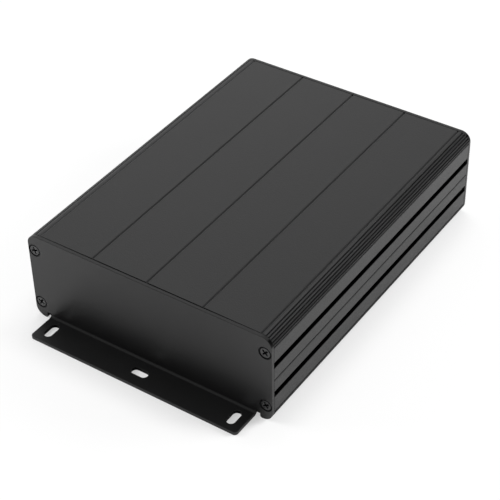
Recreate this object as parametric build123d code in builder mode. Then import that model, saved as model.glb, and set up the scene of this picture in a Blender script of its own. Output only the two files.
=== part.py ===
from build123d import *
from math import radians, tan
import os

# Aluminium instrument case: two extruded half shells, two folded end panels with ears, eight screws.
# X runs across the case, Y along it and Z up. The origin is the middle of the base.

# Outside of the case
case_width = 152.0
case_height = 55.0
body_length = 200.0
corner_radius = 6.0
half_height = case_height / 2

# Extruded wall and the marks along it
wall = 2.0
groove_count = 5
groove_pitch = 34.35
groove_width = 1.4
groove_depth = 0.65
flute_count = 6
flute_width = 1.0
flute_depth = 0.75
split_chamfer = 0.4
shell_end_chamfer = 0.3

# Groove along each side face, how far it lies from the split, and the channel wall behind it
side_groove_height = 4.0
side_groove_depth = 4.5
side_groove_drop = 9.6
channel_wall = 1.5

# Board rails inside
board_slot = 1.8
rail_thickness = 1.2
rail_reach = 2.5

# Tongue and groove where the two shells meet
lip_thickness = 3.4
tongue_inset = 1.7
tongue_width = 1.2
tongue_height = 1.5
tongue_clearance = 0.1
tongue_end_clearance = 0.2

# End panels
panel_thickness = 2.0
panel_edge_chamfer = 0.12
ear_reach = 17.6
ear_corner_radius = 2.0
bend_radius = 1.5
relief_width = 2.6
relief_over_bend = 0.4
foot_flat = 0.2
foot_corner_radius = 1.2

# Slots in the ear
slot_width = 5.0
slot_length = 10.2
slot_from_face = 8.7
slot_inset = 7.2

# Screws and the ports they cut into
screw_inset_side = 4.0
screw_inset_level = 9.8
screw_length = 12.0
screw_core_radius = 1.4
screw_thread_radius = 1.75
screw_tip_length = 2.0
screw_tip_radius = 0.4
head_radius = 3.0
head_rim = 0.45
head_angle = 90.0
head_back_gap = 0.1
recess_span = 3.8
recess_width = 0.95
recess_depth = 1.3
recess_taper = 12.0
port_clearance = 0.05
port_wall = 2.0
port_mouth = 1.6
panel_hole_clearance = 0.2

# Where each screw stops when it is tight, in degrees of turn of its cross
screw_turns = {
    "front_screw_upper_left": 20,
    "front_screw_upper_right": 45,
    "front_screw_lower_left": 62,
    "front_screw_lower_right": 35,
    "rear_screw_upper_left": 10,
    "rear_screw_upper_right": 74,
    "rear_screw_lower_left": 51,
    "rear_screw_lower_right": 28,
}

os.makedirs("parts", exist_ok=True)

# Places worked out from the sizes above
half_width = case_width / 2
inner_half_width = half_width - wall
channel_reach = side_groove_depth + channel_wall
channel_height = side_groove_height + 2 * channel_wall
side_groove_rise = half_height - side_groove_drop
channel_top = side_groove_rise + channel_height / 2
channel_face = half_width - channel_reach
screw_x = half_width - screw_inset_side
port_bore_radius = screw_core_radius + port_clearance
port_radius = port_bore_radius + port_wall
panel_hole_radius = screw_thread_radius + panel_hole_clearance
head_flare = tan(radians(head_angle / 2))
head_cone = (head_radius - screw_thread_radius) / head_flare
head_height = head_rim + head_cone
head_sink = panel_thickness - head_back_gap - head_height
sink_radius = head_radius + (head_sink + head_rim) * head_flare
lower_rail = side_groove_rise - board_slot / 2 - rail_thickness
upper_rail = side_groove_rise + board_slot / 2
lip_base = channel_top + board_slot
flute_step = 90 / flute_count


# Room inside one half of the case, open at the split
with BuildSketch() as room:
    with Locations((0, wall)):
        Rectangle(2 * inner_half_width, half_height - wall, align=(Align.CENTER, Align.MIN))
    fillet(room.vertices().group_by(Axis.Y)[0], corner_radius - wall)

# One flute, a V with its point inwards and its mouth on the Y axis, drawn out past the mouth to cut clear
with BuildSketch() as flute:
    Polygon((-flute_depth, 0), (flute_depth, -flute_width), (flute_depth, flute_width), align=None)

# Section of one half shell, with its outer face on the X axis and its split edge on top
with BuildSketch() as half_section:
    Rectangle(case_width, half_height, align=(Align.CENTER, Align.MIN))
    fillet(half_section.vertices().group_by(Axis.Y)[0], corner_radius)
    chamfer(half_section.vertices().group_by(Axis.Y)[-1], split_chamfer)
    add(room.sketch, mode=Mode.SUBTRACT)

    # Channel, screw port, board rails and lip on each side wall
    for side in (-1, 1):
        wall_line = side * inner_half_width
        inward = (Align.MAX if side > 0 else Align.MIN, Align.MIN)
        with Locations((wall_line, side_groove_rise - channel_height / 2)):
            Rectangle(channel_reach - wall, channel_height, align=inward)
        with Locations((side * screw_x, screw_inset_level)):
            Circle(port_radius)
        with Locations((wall_line, screw_inset_level)):
            Rectangle(channel_reach - wall, side_groove_rise - screw_inset_level, align=inward)
        for rail_level in (lower_rail, upper_rail):
            with Locations((side * channel_face, rail_level)):
                Rectangle(rail_reach, rail_thickness, align=inward)
        with Locations((wall_line, lip_base)):
            Rectangle(channel_reach - wall, rail_thickness, align=inward)
            Rectangle(lip_thickness - wall, half_height - lip_base, align=inward)

    # Groove in each side face, bore and mouth of each screw port
    for side in (-1, 1):
        with Locations((side * half_width, side_groove_rise)):
            Rectangle(2 * side_groove_depth, side_groove_height, mode=Mode.SUBTRACT)
        with Locations((side * screw_x, screw_inset_level)):
            Circle(port_bore_radius, mode=Mode.SUBTRACT)
            mouthward = (Align.MAX if side > 0 else Align.MIN, Align.CENTER)
            Rectangle(2 * port_radius, port_mouth, align=mouthward, mode=Mode.SUBTRACT)

    # Shallow V grooves along the broad face
    with GridLocations(groove_pitch, 1, groove_count, 1):
        Polygon(
            (-groove_width / 2, 0),
            (groove_width / 2, 0),
            (0, groove_depth),
            align=None,
            mode=Mode.SUBTRACT,
        )

    # Flutes round both long corners
    for side, first_flute in ((-1, 180), (1, 270 + flute_step)):
        with Locations((side * (half_width - corner_radius), corner_radius)):
            with PolarLocations(corner_radius, flute_count, first_flute, 90, endpoint=False):
                add(flute.sketch, mode=Mode.SUBTRACT)

    # Tongue on the left edge, and its mate's groove in the right edge
    with Locations((-(half_width - tongue_inset), half_height)):
        Rectangle(tongue_width, tongue_height, align=(Align.CENTER, Align.MIN))
    with Locations((half_width - tongue_inset, half_height)):
        Rectangle(
            tongue_width + 2 * tongue_clearance,
            tongue_height + tongue_end_clearance,
            align=(Align.CENTER, Align.MAX),
            mode=Mode.SUBTRACT,
        )

# Lower shell, one length of the section
with BuildPart() as lower_shell:
    with BuildSketch(Plane.XZ.offset(-body_length / 2)):
        add(half_section.sketch)
    extrude(amount=body_length)

    # Sawn ends broken along the broad face and both side faces
    end_edges = lower_shell.edges().filter_by(Plane.XZ).filter_by(GeomType.LINE)
    broad_edges = end_edges.filter_by(Axis.X).group_by(Axis.Z)[0]
    left_edges = end_edges.filter_by(Axis.Z).group_by(Axis.X)[0]
    right_edges = end_edges.filter_by(Axis.Z).group_by(Axis.X)[-1]
    chamfer(broad_edges + left_edges + right_edges, shell_end_chamfer)
lower_shell.part.label = "lower_shell"
export_step(lower_shell.part, "parts/lower_shell.step")

# Upper shell, the same section turned over about the line through the middle of the case
split_axis = Axis((0, 0, half_height), (0, 1, 0))
with BuildPart() as upper_shell:
    add(lower_shell.part.rotate(split_axis, 180))
upper_shell.part.label = "upper_shell"
export_step(upper_shell.part, "parts/upper_shell.step")


# Front panel: a plate as large as the body's end, with its foot folded outwards into an ear
outer_bend = bend_radius + panel_thickness
relief_height = outer_bend + relief_over_bend
back_y = -body_length / 2
face_y = back_y - panel_thickness
bend_line = face_y - bend_radius
ear_edge_y = face_y - ear_reach
slot_y = face_y - slot_from_face
ear_half_width = half_width - corner_radius - foot_flat - foot_corner_radius - relief_width
slot_x = ear_half_width - slot_inset
relief_x = ear_half_width + relief_width / 2
foot_x = ear_half_width + relief_width

# What is taken off the inner corner of each foot to round it
with BuildSketch() as foot_bite:
    Rectangle(foot_corner_radius, foot_corner_radius, align=Align.MIN)
    with Locations((foot_corner_radius, foot_corner_radius)):
        Circle(foot_corner_radius, mode=Mode.SUBTRACT)

with BuildPart() as front_panel:
    # Plate, cut back over the bend and relieved at both ends of it
    with BuildSketch(Plane.XZ.offset(-back_y)):
        with Locations((0, half_height)):
            RectangleRounded(case_width, case_height, corner_radius)
        Rectangle(2 * ear_half_width, 2 * outer_bend, mode=Mode.SUBTRACT)
        with Locations((-relief_x, 0), (relief_x, 0)):
            RectangleRounded(relief_width, 2 * relief_height, relief_over_bend, mode=Mode.SUBTRACT)
        with Locations((foot_x, 0)):
            add(foot_bite.sketch, mode=Mode.SUBTRACT)
        with Locations((-foot_x, 0)):
            add(foot_bite.sketch, rotation=90, mode=Mode.SUBTRACT)
    extrude(amount=panel_thickness)

    # Edges of the plate eased, apart from the pair that the bend grows from
    outlines = front_panel.edges().filter_by(Plane.XZ)
    eased = outlines.filter_by(lambda edge: abs(edge.center().Z - outer_bend) > panel_edge_chamfer / 2)
    chamfer(eased, panel_edge_chamfer)

    # Flat of the ear, its outer corners rounded and its edges eased out from the bend
    with BuildSketch() as ear_flat:
        with Locations((0, bend_line)):
            Rectangle(2 * ear_half_width, bend_line - ear_edge_y, align=(Align.CENTER, Align.MAX))
        fillet(ear_flat.vertices().group_by(Axis.Y)[0], ear_corner_radius)
    extrude(amount=panel_thickness)
    ear_outlines = front_panel.edges().filter_by(Plane.XY)
    ear_eased = ear_outlines.filter_by(lambda edge: edge.center().Y < bend_line - panel_edge_chamfer)
    chamfer(ear_eased, panel_edge_chamfer)

    # Bend between the plate and the ear
    with BuildSketch(Plane.YZ.offset(-ear_half_width)):
        with BuildLine():
            bend_back = (back_y, outer_bend)
            bend_foot = (bend_line, 0)
            bend_top = (bend_line, panel_thickness)
            bend_face = (face_y, outer_bend)
            RadiusArc(bend_back, bend_foot, outer_bend)
            Line(bend_foot, bend_top)
            RadiusArc(bend_top, bend_face, -bend_radius)
            Line(bend_face, bend_back)
        make_face()
    extrude(amount=2 * ear_half_width)

    # Outer slots run along the case, the middle one across it
    with BuildSketch():
        with Locations((-slot_x, slot_y), (slot_x, slot_y)):
            SlotOverall(slot_length, slot_width, rotation=90)
        with Locations((0, slot_y)):
            SlotOverall(slot_length, slot_width)
    extrude(amount=panel_thickness, mode=Mode.SUBTRACT)

    # Countersunk holes over the screw ports
    with Locations(Plane.XZ.offset(-face_y)):
        with Locations((0, half_height)):
            with GridLocations(2 * screw_x, case_height - 2 * screw_inset_level, 2, 2):
                CounterSinkHole(panel_hole_radius, sink_radius, panel_thickness, head_angle)
front_panel.part.label = "front_panel"
export_step(front_panel.part, "parts/front_panel.step")

# Rear panel, the same sheet turned to the other end
with BuildPart() as rear_panel:
    add(front_panel.part.rotate(Axis.Z, 180))
rear_panel.part.label = "rear_panel"
export_step(rear_panel.part, "parts/rear_panel.step")


# Screw: countersunk head with a cross recess, standing on its tip with the head's top at z = 0
with BuildPart() as screw:
    with BuildSketch(Plane.XZ):
        with BuildLine():
            Polyline(
                (0, 0),
                (head_radius, 0),
                (head_radius, -head_rim),
                (screw_thread_radius, -head_height),
                (screw_core_radius, -head_height),
                (screw_core_radius, screw_tip_length - screw_length),
                (screw_tip_radius, -screw_length),
                (0, -screw_length),
                close=True,
            )
        make_face()
    revolve(axis=Axis.Z)
    with BuildSketch():
        Rectangle(recess_span, recess_width)
        Rectangle(recess_width, recess_span)
    extrude(amount=-recess_depth, taper=recess_taper, mode=Mode.SUBTRACT)

# Each screw is turned to where it stops and laid into its hole
screw_depth = body_length / 2 + panel_thickness - head_sink
for name, turn in screw_turns.items():
    end, _, level, side = name.split("_")
    x = screw_x if side == "right" else -screw_x
    z = case_height - screw_inset_level if level == "upper" else screw_inset_level
    outward = -1 if end == "front" else 1
    seat = Plane(origin=(x, outward * screw_depth, z), x_dir=(1, 0, 0), z_dir=(0, outward, 0))
    with BuildPart() as placed_screw:
        with Locations(seat):
            with Locations(Rotation(0, 0, turn)):
                add(screw.part)
    placed_screw.part.label = name
    export_step(placed_screw.part, f"parts/{name}.step")
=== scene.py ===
from math import cos, radians, sin
import bpy
from mathutils import Matrix, Vector


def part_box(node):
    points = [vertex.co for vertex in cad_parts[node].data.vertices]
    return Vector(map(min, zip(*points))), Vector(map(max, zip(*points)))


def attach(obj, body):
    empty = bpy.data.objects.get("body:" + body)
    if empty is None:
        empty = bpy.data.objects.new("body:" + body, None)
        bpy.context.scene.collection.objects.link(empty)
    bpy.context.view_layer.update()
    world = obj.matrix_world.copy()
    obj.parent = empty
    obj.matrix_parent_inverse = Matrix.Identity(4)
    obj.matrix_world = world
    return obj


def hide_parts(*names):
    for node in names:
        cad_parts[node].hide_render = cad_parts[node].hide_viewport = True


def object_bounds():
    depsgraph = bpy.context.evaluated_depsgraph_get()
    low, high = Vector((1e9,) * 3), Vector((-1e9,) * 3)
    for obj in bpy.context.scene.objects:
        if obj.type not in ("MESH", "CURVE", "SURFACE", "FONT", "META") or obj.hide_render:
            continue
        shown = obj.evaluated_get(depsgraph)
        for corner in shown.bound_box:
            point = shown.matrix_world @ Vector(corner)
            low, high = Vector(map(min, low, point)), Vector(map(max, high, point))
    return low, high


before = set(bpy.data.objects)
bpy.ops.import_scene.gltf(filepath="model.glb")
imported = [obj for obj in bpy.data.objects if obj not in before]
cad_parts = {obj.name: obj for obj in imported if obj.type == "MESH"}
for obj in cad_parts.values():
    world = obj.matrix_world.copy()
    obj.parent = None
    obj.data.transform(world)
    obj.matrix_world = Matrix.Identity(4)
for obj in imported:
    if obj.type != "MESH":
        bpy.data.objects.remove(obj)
cad_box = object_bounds()
bpy.ops.object.select_all(action="DESELECT")


# Extruded half shells. One aluminium profile, cut to two equal lengths and turned face to face, etched
# to a fine matt grain and anodised black. The die leaves faint lines along their length.
def add_node(tree, kind, inputs, **settings):
    """Adds a shader node. inputs gives each socket a value, or the output that it reads."""
    made = tree.nodes.new("ShaderNode" + kind)
    for name, value in settings.items():
        setattr(made, name, value)
    for name, value in inputs.items():
        if isinstance(value, bpy.types.NodeSocket):
            tree.links.new(value, made.inputs[name])
        else:
            made.inputs[name].default_value = value
    return made


def combine(tree, operation, *values):
    """Works several values into one, from the first to the last."""
    made = values[0]
    for value in values[1:]:
        made = add_node(tree, "Math", {0: made, 1: value}, operation=operation).outputs["Value"]
    return made


def vector_maths(tree, operation, first, second=(0, 0, 0), output="Vector"):
    """Works on one or two vectors."""
    return add_node(tree, "VectorMath", {0: first, 1: second}, operation=operation).outputs[output]


def ramp(tree, value, start=0.0, end=1.0, low=0.0, high=1.0, **settings):
    """Goes from low to high as the value goes from start to end."""
    limits = {"Value": value, "From Min": start, "From Max": end, "To Min": low, "To Max": high}
    return add_node(tree, "MapRange", limits, **settings).outputs["Result"]


def blend(tree, share, first, second, data_type="RGBA"):
    """Mixes two colours, or two values where data_type is FLOAT."""
    mixed = add_node(tree, "Mix", {"Factor": share, "A": first, "B": second}, data_type=data_type)
    return mixed.outputs["Result"]


def noise(tree, place, per_metre, detail):
    """A noise with so many spots to the metre."""
    return add_node(tree, "TexNoise", {"Vector": place, "Scale": per_metre, "Detail": detail}).outputs["Fac"]


def parts_of(tree, vector):
    """The X, Y and Z of a vector."""
    return add_node(tree, "SeparateXYZ", {"Vector": vector}).outputs


def new_group(name, inputs, outputs):
    """Starts a shader node group. inputs and outputs pair each socket's name with its kind and value."""
    tree = bpy.data.node_groups.new(name, "ShaderNodeTree")
    for socket_name, (kind, value) in inputs.items():
        socket = tree.interface.new_socket(socket_name, in_out="INPUT", socket_type="NodeSocket" + kind)
        socket.default_value = value
    for socket_name, kind in outputs.items():
        tree.interface.new_socket(socket_name, in_out="OUTPUT", socket_type="NodeSocket" + kind)
    return tree, tree.nodes.new("NodeGroupInput").outputs, tree.nodes.new("NodeGroupOutput").inputs


def add_group(tree, group, inputs):
    """Adds a group's node to a material, with its own values."""
    return add_node(tree, "Group", inputs, node_tree=group).outputs


# Matt grain: the pits of the etch, with a coarser mottle under them
matt_grain, given, wanted = new_group(
    "matt grain",
    {"Vector": ("Vector", (0, 0, 0)), "Pits per metre": ("Float", 1500.0), "Mottle": ("Float", 0.4)},
    {"Height": "Float", "Tone": "Float"},
)
blotches_per_metre = 60.0
pits = noise(matt_grain, given["Vector"], given["Pits per metre"], detail=3.0)
blotches = noise(matt_grain, given["Vector"], blotches_per_metre, detail=4.0)
mottled = blend(matt_grain, given["Mottle"], pits, blotches, data_type="FLOAT")
matt_grain.links.new(pits, wanted["Height"])
matt_grain.links.new(mottled, wanted["Tone"])

# Die lines: scratches of the die, long in Y and fine across it
die_lines, given, wanted = new_group(
    "die lines",
    {"Vector": ("Vector", (0, 0, 0)), "Lines per metre": ("Float", 1400.0)},
    {"Height": "Float"},
)
line_stretch = 0.004
drawn_out = add_node(die_lines, "Mapping", {"Vector": given["Vector"], "Scale": (1.0, line_stretch, 1.0)})
scratches = noise(die_lines, drawn_out.outputs["Vector"], given["Lines per metre"], detail=2.0)
die_lines.links.new(scratches, wanted["Height"])

# Worn edge: where a sharp edge has lost some of its dye, and its rounding
worn_edge, given, wanted = new_group(
    "worn edge",
    {"Wear": ("Float", 1.0), "Breaks": ("Float", 0.5)},
    {"Mask": "Float", "Normal": "Vector"},
)
edge_radius = 0.00025
nearly_flat = 0.995
fully_turned = 0.8
rounded = add_node(worn_edge, "Bevel", {"Radius": edge_radius}, samples=4).outputs["Normal"]
flat = add_node(worn_edge, "NewGeometry", {}).outputs["True Normal"]
likeness = vector_maths(worn_edge, "DOT_PRODUCT", rounded, flat, output="Value")
turned = ramp(worn_edge, likeness, nearly_flat, fully_turned)
worn = combine(worn_edge, "MULTIPLY", turned, given["Breaks"], given["Wear"])
worn_edge.links.new(worn, wanted["Mask"])
worn_edge.links.new(rounded, wanted["Normal"])

# Case places: its two sides, two ends and two halves are alike, so a point is folded into one of them.
# Aside is the distance from the middle across the case, Along the one along it, and Rise the one up or
# down from the split.
screw_low, screw_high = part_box("front_screw_upper_right")
half_height = cad_box[1].z / 2
screw_middle = ((screw_low.x + screw_high.x) / 2, 0, (screw_low.z + screw_high.z) / 2 - half_height)
corner_radius = 0.006
flat_half_width = cad_box[1].x - corner_radius
corner_middle = (flat_half_width, 0, half_height - corner_radius)
case_places, given, wanted = new_group(
    "case places",
    {"Vector": ("Vector", (0, 0, 0))},
    {"Aside": "Float", "Along": "Float", "Rise": "Float", "From screw": "Float", "From corner": "Float"},
)
from_middle = vector_maths(case_places, "SUBTRACT", given["Vector"], (0, 0, half_height))
folded = vector_maths(case_places, "ABSOLUTE", from_middle)
flattened = vector_maths(case_places, "MULTIPLY", folded, (1, 0, 1))
from_screw = vector_maths(case_places, "DISTANCE", flattened, screw_middle, output="Value")
from_corner = vector_maths(case_places, "DISTANCE", flattened, corner_middle, output="Value")
parted = parts_of(case_places, folded)
case_places.links.new(parted["X"], wanted["Aside"])
case_places.links.new(parted["Y"], wanted["Along"])
case_places.links.new(parted["Z"], wanted["Rise"])
case_places.links.new(from_screw, wanted["From screw"])
case_places.links.new(from_corner, wanted["From corner"])

# Soft band: a mask that is 1 where a value lies between two limits
soft_band, given, wanted = new_group(
    "soft band",
    {"Value": ("Float", 0.0), "Low": ("Float", 0.0), "High": ("Float", 1.0), "Softness": ("Float", 0.0001)},
    {"Mask": "Float"},
)
steps = []
for limit, share_before, share_after in (("Low", 0.0, 1.0), ("High", 1.0, 0.0)):
    before = combine(soft_band, "SUBTRACT", given[limit], given["Softness"])
    after = combine(soft_band, "ADD", given[limit], given["Softness"])
    step = ramp(
        soft_band, given["Value"], before, after, share_before, share_after, interpolation_type="SMOOTHSTEP"
    )
    steps.append(step)
soft_band.links.new(combine(soft_band, "MULTIPLY", *steps), wanted["Mask"])


def band(tree, value, low=0.0, high=1.0, soft=0.0001):
    """The mask of the places where a value lies between two limits. The case is smaller than 1 metre."""
    return add_group(tree, soft_band, {"Value": value, "Low": low, "High": high, "Softness": soft})["Mask"]


# Joint gap shade: painted shade in the joint, where the panels bow a little and leave a gap.
# It is darkest in the middle of the front, and fades to the corners and to the rear
joint_gap_shade, given, wanted = new_group("joint gap shade", {"Vector": ("Vector", (0, 0, 0))}, {"Mask": "Float"})
open_half_width = 0.035
closed_half_width = 0.070
corner_gap = 0.2
front_until = -0.05
rear_from = 0.05
rear_gap = 0.3
point = parts_of(joint_gap_shade, given["Vector"])
off_middle = add_node(joint_gap_shade, "Math", {0: point["X"]}, operation="ABSOLUTE").outputs["Value"]
bowed = ramp(joint_gap_shade, off_middle, open_half_width, closed_half_width, low=1.0, high=corner_gap)
front_wide = ramp(joint_gap_shade, point["Y"], front_until, rear_from, low=1.0, high=rear_gap)
joint_gap_shade.links.new(combine(joint_gap_shade, "MULTIPLY", bowed, front_wide), wanted["Mask"])


def new_material(name):
    """Starts a material: its tree, its shader and the piece's own coordinates."""
    material = bpy.data.materials.new(name)
    material.use_nodes = True
    tree = material.node_tree
    tree.nodes.clear()
    shader = add_node(tree, "BsdfPrincipled", {})
    add_node(tree, "OutputMaterial", {"Surface": shader.outputs["BSDF"]})
    return material, tree, shader, add_node(tree, "TexCoord", {}).outputs["Object"]


def finish_material(tree, shader, colour, roughness, painted_shade, normal):
    """Feeds the shader. Painted shade goes to Metallic, because a black metal reflects almost nothing."""
    tree.links.new(colour, shader.inputs["Base Color"])
    tree.links.new(roughness, shader.inputs["Roughness"])
    tree.links.new(painted_shade, shader.inputs["Metallic"])
    tree.links.new(normal, shader.inputs["Normal"])


def bump(tree, height, normal, strength, distance):
    """Raises a surface by a height, on top of another normal."""
    made = {"Strength": strength, "Distance": distance, "Height": height, "Normal": normal}
    return add_node(tree, "Bump", made).outputs["Normal"]


def dress(node_name, material):
    """Gives a node of the frame its finish."""
    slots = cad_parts[node_name].data.materials
    slots.clear()
    slots.append(material)


# Black anodising on the extrusion, and where its edges are worn
deep_dye = (0.0015, 0.0015, 0.0016, 1)
extrusion_pale_dye = (0.006, 0.006, 0.0062, 1)
speck_and_painted_light_grey = (0.040, 0.040, 0.0406, 1)
bare_aluminium = (0.07, 0.07, 0.072, 1)
extrusion_black, tree, shader, place = new_material("black anodised extrusion")
grain = add_group(tree, matt_grain, {"Vector": place, "Pits per metre": 1700.0, "Mottle": 0.35})
lines = add_group(tree, die_lines, {"Vector": place, "Lines per metre": 1500.0})
edges = add_group(tree, worn_edge, {"Wear": 0.5, "Breaks": grain["Tone"]})
places = add_group(tree, case_places, {"Vector": place})
point = parts_of(tree, place)
shell_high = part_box("upper_shell")[1]
half_width = shell_high.x
half_length = shell_high.y
dye = blend(tree, grain["Tone"], deep_dye, extrusion_pale_dye)

# Grey places: specks on the side faces, the metal's own tone, and painted light: a painted highlight
# on the crests of the upper flutes at the front, and the groove next to the left edge, painted paler
side_skin = 0.0004
speckle_from = 0.46
speckle_full = 0.66
dots_from = 0.42
dots_full = 0.60
crest_depth = 0.0003
past_flat = 0.0002
upper_crests_rise = 0.0256
crests_fade = 0.05
crest_highlight_share = 0.30
left_groove = -0.0687
groove_reach = 0.0008
groove_light_share = 0.46
speckle = add_group(tree, matt_grain, {"Vector": place, "Pits per metre": 1200.0, "Mottle": 0.0})
dots = add_group(tree, matt_grain, {"Vector": place, "Pits per metre": 4500.0, "Mottle": 0.0})
on_side_specks = combine(
    tree,
    "MULTIPLY",
    ramp(tree, speckle["Tone"], speckle_from, speckle_full),
    ramp(tree, dots["Tone"], dots_from, dots_full),
    band(tree, places["Aside"], low=half_width - side_skin, soft=0.0002),
)
# Painted highlight: the crests of the upper flutes, in the front half, are greyed as if lit
upper_crest_highlight_mask = combine(
    tree,
    "MULTIPLY",
    band(tree, places["From corner"], low=corner_radius - crest_depth),
    band(tree, places["Aside"], low=flat_half_width + past_flat, soft=0.0002),
    band(tree, places["Rise"], low=upper_crests_rise, soft=0.0004),
    band(tree, point["Y"], low=-1.0, high=0.0, soft=crests_fade),
    crest_highlight_share,
)
# Painted light: the groove next to the left edge is greyed, so that it shows less shade
left_groove_light_mask = combine(
    tree,
    "MULTIPLY",
    band(tree, point["X"], left_groove - groove_reach, left_groove + groove_reach),
    groove_light_share,
)
specks_and_painted_light = combine(tree, "MAXIMUM", on_side_specks, upper_crest_highlight_mask, left_groove_light_mask)
colour = blend(tree, edges["Mask"], blend(tree, specks_and_painted_light, dye, speck_and_painted_light_grey), bare_aluminium)
roughness = ramp(tree, grain["Tone"], low=0.40, high=0.50)

# Painted shade: the insides of the side grooves, the lower flutes of each corner, the split line, which
# the upper half shades, and the joint with the panel are painted dark
side_lip = 0.0003
grooves_rise = 0.0200
flutes_aside = 0.0030
flutes_low_rise = 0.0204
flutes_high_rise = 0.0244
flute_shade_share = 0.55
split_shade_depth = 0.0012
split_lip = 0.0002
split_line_shade_share = 0.65
joint_depth = 0.0005
side_groove_shade_mask = combine(
    tree,
    "MULTIPLY",
    band(tree, places["Aside"], high=half_width - side_lip, soft=0.0002),
    band(tree, places["Rise"], high=grooves_rise, soft=0.0005),
)
lower_flute_shade_mask = combine(
    tree,
    "MULTIPLY",
    band(tree, places["Aside"], low=half_width - flutes_aside, soft=0.0006),
    band(tree, places["Rise"], low=flutes_low_rise, soft=0.0003),
    band(tree, places["Rise"], high=flutes_high_rise, soft=0.0010),
    flute_shade_share,
)
split_line_shade_mask = combine(
    tree,
    "MULTIPLY",
    band(tree, point["Z"], half_height - split_shade_depth, half_height + split_lip, soft=0.0002),
    split_line_shade_share,
)
gap_shade_mask = add_group(tree, joint_gap_shade, {"Vector": place})["Mask"]
joint_shade_mask = combine(tree, "MULTIPLY", band(tree, places["Along"], low=half_length - joint_depth), gap_shade_mask)
painted_shade = combine(tree, "MAXIMUM", side_groove_shade_mask, lower_flute_shade_mask, split_line_shade_mask, joint_shade_mask)
lined = bump(tree, lines["Height"], edges["Normal"], strength=0.25, distance=0.00006)
grained = bump(tree, grain["Height"], lined, strength=0.6, distance=0.00012)
shader.inputs["IOR"].default_value = 1.5
finish_material(tree, shader, colour, roughness, painted_shade, grained)
for shell in ("upper_shell", "lower_shell"):
    dress(shell, extrusion_black)


# End panels. Two millimetre aluminium sheet, punched, folded outwards into an ear and blasted with fine
# beads before it was anodised. Four countersunk screws hold each to the ends of the shells.
sheet = 0.002
panel_face = half_length + sheet
ear_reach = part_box("rear_panel")[1].y
sheet_pale_dye = (0.005, 0.005, 0.0052, 1)
sheet_black, tree, shader, place = new_material("black anodised sheet")
grain = add_group(tree, matt_grain, {"Vector": place, "Pits per metre": 2200.0, "Mottle": 0.5})
edges = add_group(tree, worn_edge, {"Wear": 0.5, "Breaks": grain["Tone"]})
places = add_group(tree, case_places, {"Vector": place})
dye = blend(tree, grain["Tone"], deep_dye, sheet_pale_dye)
colour = blend(tree, edges["Mask"], dye, bare_aluminium)

# The ear is scuffed by handling, so it is a little duller than the upright part
scuffed_below = 0.0025
scuffing = 0.09
height = parts_of(tree, place)["Z"]
scuffed = combine(tree, "MULTIPLY", band(tree, height, low=-1.0, high=scuffed_below, soft=0.0005), scuffing)
roughness = combine(tree, "ADD", ramp(tree, grain["Tone"], low=0.38, high=0.46), scuffed)

# Painted shade: round the screws, inside the slots, in the bend, in the joint with the shells, and on the
# sheet's edge, most of all at the corners
countersink_radius = 0.00385
countersink_shade_share = 0.9
slot_skin = 0.0001
slot_end_clear = 0.003
slots_aside = 0.0645
bend_reach = 0.0016
bend_height = 0.0042
bend_shade_share = 0.25
panel_joint_depth = 0.0003
edge_skin = 0.0001
edge_shade_share = 0.1
chamfer_start = 0.00018
chamfer_end = 0.00002
chamfer_shade_share = 0.6
corner_aside = 0.0735
corner_rise = 0.0225
countersink_shade_mask = combine(
    tree,
    "MULTIPLY",
    band(tree, places["From screw"], high=countersink_radius, soft=0.00012),
    countersink_shade_share,
)
slot_shade_mask = combine(
    tree,
    "MULTIPLY",
    band(tree, height, high=sheet - slot_skin, soft=0.00005),
    band(tree, places["Along"], panel_face + slot_end_clear, ear_reach - slot_end_clear, soft=0.0003),
    band(tree, places["Aside"], high=slots_aside, soft=0.0005),
)
bend_shade_mask = combine(
    tree,
    "MULTIPLY",
    band(tree, places["Along"], panel_face, panel_face + bend_reach, soft=0.0004),
    band(tree, height, high=bend_height, soft=0.0006),
    bend_shade_share,
)
gap_shade_mask = add_group(tree, joint_gap_shade, {"Vector": place})["Mask"]
joint_shade_mask = combine(
    tree, "MULTIPLY", band(tree, places["Along"], high=half_length + panel_joint_depth), gap_shade_mask
)
behind_face = band(tree, places["Along"], high=panel_face - edge_skin)
sheet_edge_shade_mask = combine(tree, "MULTIPLY", behind_face, edge_shade_share)
chamfer_shade_mask = combine(
    tree,
    "MULTIPLY",
    band(tree, places["Along"], panel_face - chamfer_start, panel_face - chamfer_end, soft=0.00003),
    gap_shade_mask,
    chamfer_shade_share,
)
corner_edge_shade_mask = combine(
    tree,
    "MULTIPLY",
    behind_face,
    band(tree, places["Aside"], low=corner_aside, soft=0.0006),
    band(tree, places["Rise"], low=corner_rise, soft=0.0008),
)
painted_shade = combine(
    tree, "MAXIMUM", countersink_shade_mask, slot_shade_mask, bend_shade_mask, joint_shade_mask, sheet_edge_shade_mask, chamfer_shade_mask, corner_edge_shade_mask
)
grained = bump(tree, grain["Height"], edges["Normal"], strength=0.35, distance=0.00008)
shader.inputs["IOR"].default_value = 1.5
finish_material(tree, shader, colour, roughness, painted_shade, grained)
for panel in ("front_panel", "rear_panel"):
    dress(panel, sheet_black)


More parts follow.
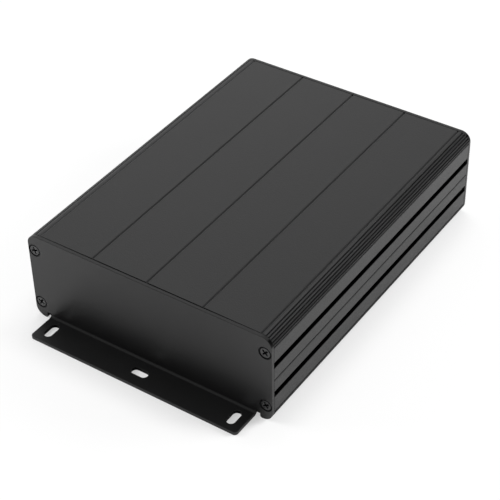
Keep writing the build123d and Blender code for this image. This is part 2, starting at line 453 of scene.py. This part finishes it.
# Screws. Countersunk self-tapping screws with a cross recess, of steel with a thin black zinc plating.
# The recess and the rim of each head carry painted shade.
deep_plating = (0.003, 0.003, 0.0032, 1)
pale_plating = (0.010, 0.010, 0.0105, 1)
bare_steel = (0.16, 0.16, 0.165, 1)
head_face = -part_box("front_screw_upper_right")[0].y
recess_skin = 0.00016
recess_shade_radius = 0.0023
rim_shade_radius = 0.0028
screw_black, tree, shader, place = new_material("black zinc plating")
grain = add_group(tree, matt_grain, {"Vector": place, "Pits per metre": 4000.0, "Mottle": 0.2})
edges = add_group(tree, worn_edge, {"Wear": 0.8, "Breaks": grain["Tone"]})
places = add_group(tree, case_places, {"Vector": place})
plating = blend(tree, grain["Tone"], deep_plating, pale_plating)
colour = blend(tree, edges["Mask"], plating, bare_steel)
roughness = ramp(tree, grain["Tone"], low=0.26, high=0.40)
# Painted shade: the recess below the head's face, and the rim round the head, are made dark
recess_shade_mask = combine(
    tree,
    "MULTIPLY",
    band(tree, places["From screw"], high=recess_shade_radius),
    band(tree, places["Along"], high=head_face - recess_skin, soft=0.00006),
)
painted_shade = combine(tree, "MAXIMUM", recess_shade_mask, band(tree, places["From screw"], low=rim_shade_radius))
shader.inputs["IOR"].default_value = 1.6
finish_material(tree, shader, colour, roughness, painted_shade, edges["Normal"])


def in_edit_mode(mode):
    """Starts edit mode with vertices, edges or faces picked."""
    bpy.ops.object.mode_set(mode="EDIT")
    bpy.ops.mesh.select_mode(type=mode)


def pick(mode, wanted):
    """Selects the vertices, edges or faces whose middles pass the test, and nothing else."""
    in_edit_mode(mode)
    bpy.ops.mesh.select_all(action="DESELECT")
    bpy.ops.object.mode_set(mode="OBJECT")
    mesh = bpy.context.object.data
    if mode == "FACE":
        for face in mesh.polygons:
            face.select = wanted(face.center)
    elif mode == "EDGE":
        for edge in mesh.edges:
            first, second = (mesh.vertices[index].co for index in edge.vertices)
            edge.select = wanted((first + second) / 2)
    else:
        for vertex in mesh.vertices:
            vertex.select = wanted(vertex.co)
    in_edit_mode(mode)


def extrude(drop, spread=1.0):
    """Extrudes the picked faces down and then widens or narrows their ends."""
    bpy.ops.mesh.extrude_region_move(TRANSFORM_OT_translate={"value": (0, 0, -drop)})
    bpy.ops.transform.resize(value=(spread, spread, 1))


def finish_mesh():
    """Merges doubles, turns the faces outwards and goes back to object mode."""
    bpy.ops.mesh.select_all(action="SELECT")
    bpy.ops.mesh.remove_doubles(threshold=merge_distance)
    bpy.ops.mesh.normals_make_consistent(inside=False)
    bpy.ops.object.mode_set(mode="OBJECT")
    return bpy.context.object


def apply_modifier(piece, kind, **settings):
    """Adds a modifier to the piece and applies it."""
    bpy.ops.object.select_all(action="DESELECT")
    piece.select_set(True)
    bpy.context.view_layer.objects.active = piece
    modifier = piece.modifiers.new(kind.lower(), kind)
    for name, value in settings.items():
        setattr(modifier, name, value)
    bpy.ops.object.modifier_apply(modifier=modifier.name)


def cut_with(piece, tool, operation):
    """Joins, cuts or trims the piece with a tool mesh, and takes the tool away."""
    apply_modifier(piece, "BOOLEAN", object=tool, operation=operation, solver="EXACT")
    bpy.data.objects.remove(tool)


# Sizes of the screw, the outer ones from its solid in the frame
merge_distance = 1e-7
low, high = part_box("front_screw_upper_left")
head_radius = (high.x - low.x) / 2
screw_length = high.y - low.y
head_rim = 0.00045
head_sides = 64
shank_sides = 48
core_radius = 0.0013
crest_radius = 0.00172
tip_length = 0.0022
tip_share = 0.2
thread_pitch = 0.0013
thread_start = 0.0035
thread_tip_gap = 0.0005
recess_reach = 0.0022
recess_half_width = 0.00055
recess_depth = 0.0017
rounding = 0.00008
sharp_angle = radians(32)


def turned_blank(radius, length):
    """A shank with a pointed end, from under the head to the given length."""
    bpy.ops.mesh.primitive_circle_add(
        vertices=shank_sides, radius=radius, fill_type="NGON", location=(0, 0, -head_rim)
    )
    in_edit_mode("FACE")
    extrude(length - tip_length - head_rim)
    extrude(tip_length, tip_share)
    return finish_mesh()


# Thread: a ridge wound round the shank and trimmed to the point. It is turned and shortened a little, so
# that no edge or end of it falls on one of the shank's and each run cuts them alike.
ridge_root = 0.0002
ridge_middle = (ridge_root + crest_radius) / 2
ridge_steps = 28
crest_height_share = 0.08
root_height_share = 0.75
ridge_turn = radians(1.6)
bpy.ops.mesh.primitive_plane_add(
    size=crest_radius - ridge_root, location=(ridge_middle, 0, -screw_length), rotation=(radians(90), 0, 0)
)
bpy.ops.object.transform_apply(location=True, rotation=True, scale=True)
thread = bpy.context.object
pick("EDGE", lambda middle: middle.x > crest_radius - rounding)
bpy.ops.transform.resize(value=(1, 1, crest_height_share))
pick("EDGE", lambda middle: middle.x < ridge_root + rounding)
bpy.ops.transform.resize(value=(1, 1, root_height_share))
bpy.ops.mesh.select_mode(type="FACE")
bpy.ops.mesh.select_all(action="SELECT")
bpy.ops.mesh.delete(type="ONLY_FACE")
bpy.ops.object.mode_set(mode="OBJECT")
apply_modifier(
    thread,
    "SCREW",
    axis="Z",
    screw_offset=thread_pitch,
    iterations=round((screw_length - thread_start) / thread_pitch),
    steps=ridge_steps,
    render_steps=ridge_steps,
    use_merge_vertices=True,
    merge_threshold=merge_distance,
)
in_edit_mode("EDGE")
bpy.ops.mesh.select_all(action="DESELECT")
bpy.ops.mesh.select_non_manifold()
bpy.ops.mesh.fill_holes(sides=0)
bpy.ops.mesh.select_all(action="SELECT")
bpy.ops.transform.rotate(value=ridge_turn, orient_axis="Z", center_override=(0, 0, 0))
finish_mesh()
cut_with(thread, turned_blank(crest_radius, screw_length - thread_tip_gap), "INTERSECT")

# Blank: a flat head on a cone, and the shank under it
bpy.ops.mesh.primitive_circle_add(
    vertices=head_sides, radius=head_radius, fill_type="NGON", location=(0, 0, 0)
)
in_edit_mode("FACE")
extrude(head_rim)
extrude(head_radius - crest_radius, crest_radius / head_radius)
extrude(crest_radius - core_radius, core_radius / crest_radius)
blank = finish_mesh()
cut_with(blank, turned_blank(core_radius, screw_length), "UNION")

# Cross recess: a cross with rounded corners, punched in and narrowing to a point
punch_start = 0.0003
arm_length = recess_reach - recess_half_width
corner_rounding = recess_half_width * 0.35
wall_depth_share = 0.75
wall_end_share = 0.62
point_end_share = 0.25
bpy.ops.mesh.primitive_plane_add(size=2 * recess_half_width, location=(0, 0, punch_start))
bpy.ops.object.transform_apply(location=True, rotation=True, scale=True)
for along in (Vector((1, 0, 0)), Vector((-1, 0, 0)), Vector((0, 1, 0)), Vector((0, -1, 0))):
    arm_start = along * recess_half_width + Vector((0, 0, punch_start))
    pick("EDGE", lambda middle: (middle - arm_start).length < rounding)
    bpy.ops.mesh.extrude_region_move(TRANSFORM_OT_translate={"value": along * arm_length})
bpy.ops.mesh.select_all(action="SELECT")
bpy.ops.mesh.dissolve_limited(angle_limit=radians(1))
pick("VERT", lambda corner: True)
bpy.ops.mesh.bevel(offset=corner_rounding, segments=3, affect="VERTICES")
pick("FACE", lambda middle: True)
extrude(punch_start)
extrude(recess_depth * wall_depth_share, wall_end_share)
extrude(recess_depth * (1 - wall_depth_share), point_end_share)
cut_with(blank, finish_mesh(), "DIFFERENCE")

# Sharp edges of the head and the recess rounded a little, and the thread joined on
apply_modifier(blank, "BEVEL", width=rounding, segments=2, limit_method="ANGLE", angle_limit=sharp_angle)
cut_with(blank, thread, "UNION")
bpy.ops.object.shade_smooth_by_angle(angle=sharp_angle)
blank.data.materials.append(screw_black)

# Each screw is a copy, turned by so many degrees to where it stopped, and set in its hole
screw_turns = {
    "front_screw_upper_left": 20,
    "front_screw_upper_right": 45,
    "front_screw_lower_left": 62,
    "front_screw_lower_right": 35,
    "rear_screw_upper_left": 10,
    "rear_screw_upper_right": 74,
    "rear_screw_lower_left": 51,
    "rear_screw_lower_right": 28,
}
for node, turn in screw_turns.items():
    low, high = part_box(node)
    outward = 1 if low.y > 0 else -1
    head_top = high.y if outward > 0 else low.y
    seat = Vector(((low.x + high.x) / 2, head_top, (low.z + high.z) / 2))
    facing = Matrix.Rotation(radians(-90 * outward), 4, "X")
    screw = blank.copy()
    screw.data = blank.data.copy()
    screw.name = node + "_threaded"
    bpy.context.collection.objects.link(screw)
    screw.data.transform(Matrix.Translation(seat) @ facing @ Matrix.Rotation(radians(turn), 4, "Z"))
    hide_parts(node)
    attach(screw, "root")
bpy.data.objects.remove(blank)
bpy.ops.object.select_all(action="DESELECT")


# Table. A large pale sheet that the case stands on. The camera sees it partly plain white and partly matt,
# most matt near the case, so that it keeps the case's shadow. The gloss sees it nearly all matt.
table_size = 12.0
table_drop = 0.00005
matt_share_near = 0.55
matt_share_far = 0.15
matt_fade = 0.02
matt_share_in_gloss = 0.9
paper_white = (0.9, 0.9, 0.9, 1)
white = (1, 1, 1, 1)
bpy.ops.mesh.primitive_plane_add(size=table_size, location=(0, 0, -table_drop))
table = bpy.context.object
table.name = "table"
paper = bpy.data.materials.new("white paper")
paper.use_nodes = True
tree = paper.node_tree
tree.nodes.clear()
matt_white = add_node(tree, "BsdfDiffuse", {"Color": paper_white}).outputs["BSDF"]
plain_white = add_node(tree, "Emission", {"Color": white, "Strength": 1.0}).outputs["Emission"]
rays = add_node(tree, "LightPath", {}).outputs
seen = combine(tree, "MAXIMUM", rays["Is Camera Ray"], rays["Is Transmission Ray"])
table_spot = vector_maths(tree, "ABSOLUTE", add_node(tree, "TexCoord", {}).outputs["Object"])
past_case = parts_of(tree, vector_maths(tree, "SUBTRACT", table_spot, cad_box[1]))
white_seen = ramp(
    tree,
    combine(tree, "MAXIMUM", past_case["X"], past_case["Y"]),
    end=matt_fade,
    low=1 - matt_share_near,
    high=1 - matt_share_far,
    interpolation_type="SMOOTHSTEP",
)
white_share = combine(
    tree,
    "MAXIMUM",
    combine(tree, "MULTIPLY", seen, white_seen),
    combine(tree, "MULTIPLY", rays["Is Glossy Ray"], 1 - matt_share_in_gloss),
)
surface = add_node(tree, "MixShader", {"Fac": white_share, 1: matt_white, 2: plain_white})
add_node(tree, "OutputMaterial", {"Surface": surface.outputs["Shader"]})
table.data.materials.append(paper)


# Studio light. An even pale room, which the camera sees as white, gives most of it, and three soft lamps
# give it a side. The gloss sees the room brighter towards the back, most of all in a soft patch at the
# back left.
room_level = 0.50
front_level = 0.5
back_level = 0.73
front_way = -0.6
back_way = 0.4
patch_way = Vector((-0.62, 0.72, 0.30)).normalized()
patch_edge = 0.90
patch_gain = 0.8
world = bpy.data.worlds.new("pale room")
bpy.context.scene.world = world
world.use_nodes = True
tree = world.node_tree
tree.nodes.clear()
way = add_node(tree, "TexCoord", {}).outputs["Generated"]
towards_patch = vector_maths(tree, "DOT_PRODUCT", way, patch_way, output="Value")
gloss_level = combine(
    tree,
    "ADD",
    ramp(tree, parts_of(tree, way)["Y"], front_way, back_way, low=front_level, high=back_level),
    ramp(tree, towards_patch, patch_edge, high=patch_gain, interpolation_type="SMOOTHSTEP"),
)
rays = add_node(tree, "LightPath", {}).outputs
seen = combine(tree, "MAXIMUM", rays["Is Camera Ray"], rays["Is Transmission Ray"])
matt_level = ramp(tree, seen, low=room_level)
level = blend(tree, rays["Is Glossy Ray"], matt_level, gloss_level, data_type="FLOAT")
sky = add_node(tree, "Background", {"Color": white, "Strength": level})
add_node(tree, "OutputWorld", {"Surface": sky.outputs["Background"]})


def add_lamp(name, place, size, power):
    """A square soft lamp that faces the case, and that the gloss doesn't see."""
    bpy.ops.object.light_add(type="AREA", location=place)
    lamp = bpy.context.object
    lamp.name = name
    lamp.data.size = size
    lamp.data.energy = power
    lamp.rotation_euler = (-Vector(place)).to_track_quat("-Z", "Y").to_euler()
    lamp.visible_glossy = False


add_lamp("left_lamp", place=(-0.42, -0.27, 0.28), size=0.25, power=1.5)
add_lamp("top_lamp", place=(-0.4, 0.5, 1.3), size=0.8, power=5.0)
add_lamp("right_lamp", place=(1.3, 1.1, 0.8), size=0.8, power=39.0)


# Camera. A long lens above the right front corner, turned a little about its own axis. Its angles, its
# distance and its lens come from a fit to the photo's edges.
azimuth = radians(34.696)
elevation = radians(39.292)
roll = radians(-1.269)
distance = 0.835839
moved_left = 0.004498
moved_up = -0.015742
case_middle = Vector((0, 0, half_height))
back = Vector((sin(azimuth) * cos(elevation), -cos(azimuth) * cos(elevation), sin(elevation)))
level_right = (-back).cross(Vector((0, 0, 1))).normalized()
level_up = level_right.cross(-back)
right = cos(roll) * level_right + sin(roll) * level_up
up = -sin(roll) * level_right + cos(roll) * level_up
bpy.ops.object.camera_add(location=case_middle + back * distance - right * moved_left + up * moved_up)
camera = bpy.context.object
camera.rotation_euler = Matrix((right, up, back)).transposed().to_euler()
camera.data.sensor_width = 36.0
camera.data.lens = 109.296
camera.data.clip_start = 0.01
camera.data.clip_end = 100.0
bpy.context.scene.camera = camera
bpy.context.scene.view_settings.view_transform = "Standard"
